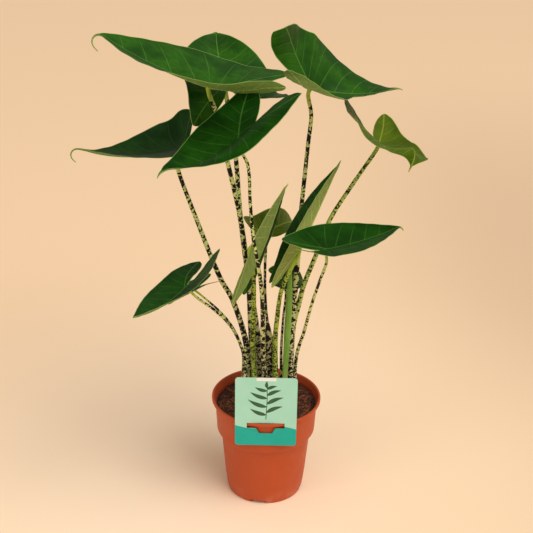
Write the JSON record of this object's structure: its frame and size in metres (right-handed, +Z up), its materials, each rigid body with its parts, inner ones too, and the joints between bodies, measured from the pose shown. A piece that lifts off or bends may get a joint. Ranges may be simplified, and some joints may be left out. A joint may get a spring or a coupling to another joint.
{
  "type": "potted zebrina alocasia",
  "caption": "House plant with arrow-shaped green leaves on tall banded stalks, growing in soil in a terracotta-coloured plastic nursery pot with a plant card hooked on its rim.",
  "frame": {"origin": "middle of the pot's underside, on the surface that it stands on", "axes": "+Z up along the pot's axis, -Y towards the side with the plant card, +X to the right seen from that side"},
  "size_m": [0.5049, 0.3819, 0.7509],
  "materials": {
    "pot": "satin injection-moulded plastic",
    "soil": "rough crumbly potting soil",
    "card": "coated printed card",
    "leaf": "waxy glossy leaf skin",
    "young_leaf": "waxy young leaf skin",
    "stalk": "satin, banded near-black on cream",
    "young_stalk": "satin, finely banded on green",
    "new_leaf": "smooth satin"
  },
  "bodies": {
    "root": {"pot": "pot", "soil": "soil", "plant_card": "card", "leaf_01_blade": "leaf", "leaf_01_stalk": "stalk", "leaf_02_blade": "leaf", "leaf_02_stalk": "stalk", "leaf_03_blade": "leaf", "leaf_03_stalk": "stalk", "leaf_04_blade": "leaf", "leaf_04_stalk": "stalk", "leaf_05_blade": "leaf", "leaf_05_stalk": "stalk", "leaf_06_blade": "young_leaf", "leaf_06_stalk": "young_stalk", "leaf_07_blade": "leaf", "leaf_07_stalk": "stalk", "leaf_08_blade": "leaf", "leaf_08_stalk": "stalk", "leaf_09_blade": "leaf", "leaf_09_stalk": "stalk", "leaf_10_blade": "leaf", "leaf_10_stalk": "stalk", "leaf_11_blade": "leaf", "leaf_11_stalk": "stalk", "leaf_12_blade": "leaf", "leaf_12_stalk": "stalk", "leaf_13_blade": "leaf", "leaf_13_stalk": "stalk", "new_leaf": "new_leaf"}
  },
  "joints": []
}
